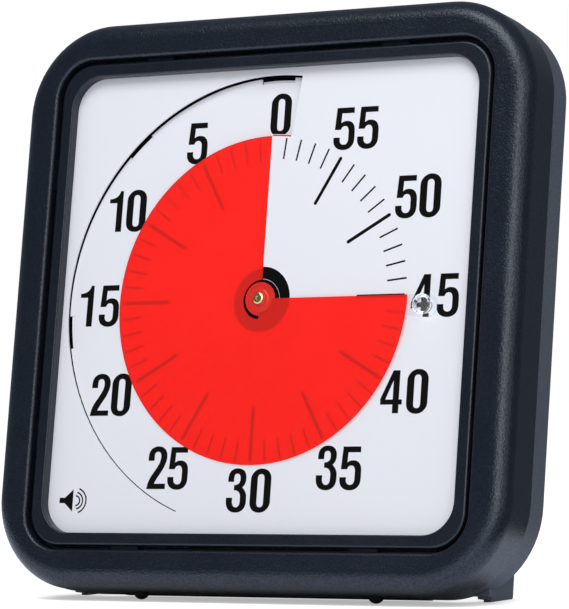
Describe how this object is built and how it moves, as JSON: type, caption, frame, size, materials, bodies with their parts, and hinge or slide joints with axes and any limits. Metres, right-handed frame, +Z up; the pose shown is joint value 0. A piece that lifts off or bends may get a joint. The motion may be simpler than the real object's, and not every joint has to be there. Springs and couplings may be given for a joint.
{
  "type": "visual countdown timer",
  "caption": "Square visual countdown timer whose red film disc is drawn out of a slit in the dial to show the minutes left, standing on folding feet with a quartz movement behind.",
  "frame": {"origin": "on the floor, at the centre of the bounding box's base; the timer stands on its front feet and rear stand feet, dial leaning back 10 degrees", "axes": "+X to the right as the dial is seen, +Y to the back, +Z up; the dial faces -Y"},
  "size_m": [0.3056, 0.0975, 0.3076],
  "materials": {
    "frame_plastic": "fine moulded grain, charcoal",
    "ring_plastic": "satin moulded, charcoal",
    "cover_plastic": "fine moulded grain, charcoal",
    "panel_plastic": "plain black",
    "dial_plastic": "satin white sheet, printed",
    "film_red": "translucent film",
    "film_clear": "clear film",
    "knob_clear": "clear moulded",
    "hub_red": "glossy moulded",
    "brass": "turned",
    "steel": "zinc plated",
    "spring_steel": "bright",
    "case_black": "moulded",
    "gear_plastic": "natural moulded",
    "magnet_grey": "sintered ferrite",
    "magnet_plate": "nickel plated",
    "iron": "soft iron sheet",
    "copper": "enamelled copper wire",
    "board": "green solder mask",
    "chip_black": "epoxy",
    "cell_wrap": "printed sleeve, plain",
    "foot_rubber": "black"
  },
  "bodies": {
    "case": {"front_bezel": "frame_plastic", "inner_ring": "ring_plastic", "back_panel": "panel_plastic", "panel_screws": "steel", "dial_sheet": "dial_plastic", "hub_collar": "panel_plastic", "bushing": "brass", "bushing_nut": "steel", "movement_case": "case_black", "movement_lid": "case_black", "lid_screws": "steel", "stator": "iron", "coil": "copper", "train_plate": "gear_plastic", "circuit_board": "board", "crystal": "steel", "chip": "chip_black", "buzzer": "case_black", "switch_body": "case_black", "battery": "cell_wrap", "contact_plus": "spring_steel", "contact_minus": "spring_steel", "rear_cover": "cover_plastic", "case_screws": "steel", "front_feet": "foot_rubber", "hinge_pin_right": "steel", "hinge_pin_left": "steel", "magnets": "magnet_plate"},
    "disc": {"disc_hub": "hub_red", "shaft": "brass", "shaft_clip": "spring_steel", "clutch_spring": "spring_steel"},
    "film": {"red_film": "film_red", "clear_tab": "film_clear", "pull_knob": "knob_clear"},
    "centre_wheel_body": {"centre_wheel": "gear_plastic"},
    "second_wheel_body": {"second_wheel": "gear_plastic"},
    "third_wheel_body": {"third_wheel": "gear_plastic"},
    "rotor_body": {"rotor": "gear_plastic", "rotor_magnet": "magnet_grey"},
    "foot_right": {"stand_foot_right": "cover_plastic"},
    "foot_left": {"stand_foot_left": "cover_plastic"},
    "door": {"battery_door": "cover_plastic"},
    "switch": {"switch_knob": "cover_plastic"}
  },
  "joints": [
    {"name": "disc_turn", "type": "hinge", "parent": "case", "child": "disc", "pos_m": [0, -0.01586, 0.15692], "axis": [0, -0.9848, 0.1736], "range_deg": [-270, 90]},
    {"name": "film_feed", "type": "slide", "parent": "disc", "child": "film", "axis": [0, -0.9848, 0.1736], "range_m": [-0.00278, 0.00093]},
    {"name": "centre_wheel_turn", "type": "hinge", "parent": "case", "child": "centre_wheel_body", "pos_m": [0, -0.00502, 0.15501], "axis": [0, -0.9848, 0.1736], "continuous": true},
    {"name": "second_wheel_turn", "type": "hinge", "parent": "case", "child": "second_wheel_body", "pos_m": [0.01341, 0.00087, 0.16539], "axis": [0, -0.9848, 0.1736], "continuous": true},
    {"name": "third_wheel_turn", "type": "hinge", "parent": "case", "child": "third_wheel_body", "pos_m": [0.01768, 0.00007, 0.14935], "axis": [0, -0.9848, 0.1736], "continuous": true},
    {"name": "rotor_turn", "type": "hinge", "parent": "case", "child": "rotor_body", "pos_m": [0.01113, -0.0004, 0.13517], "axis": [0, -0.9848, 0.1736], "continuous": true},
    {"name": "foot_right_fold", "type": "hinge", "parent": "case", "child": "foot_right", "pos_m": [0.1219, -0.00228, 0.02658], "axis": [0, 0.1736, 0.9848], "range_deg": [0, 90]},
    {"name": "foot_left_fold", "type": "hinge", "parent": "case", "child": "foot_left", "pos_m": [-0.1219, -0.00228, 0.02658], "axis": [0, 0.1736, 0.9848], "range_deg": [-90, 0]},
    {"name": "battery_door_open", "type": "hinge", "parent": "case", "child": "door", "pos_m": [0, 0.011, 0.0904], "axis": [1, 0, 0], "range_deg": [-80, 0]},
    {"name": "sound_switch_slide", "type": "slide", "parent": "case", "child": "switch", "axis": [1, 0, 0], "range_m": [0, 0.004]}
  ],
  "couplings": [
    {"joint": "film_feed", "follows": "disc_turn", "m_per_rad": 0.00058887},
    {"joint": "second_wheel_turn", "follows": "centre_wheel_turn", "ratio": -4},
    {"joint": "third_wheel_turn", "follows": "centre_wheel_turn", "ratio": 14.857},
    {"joint": "rotor_turn", "follows": "centre_wheel_turn", "ratio": -50.939}
  ]
}
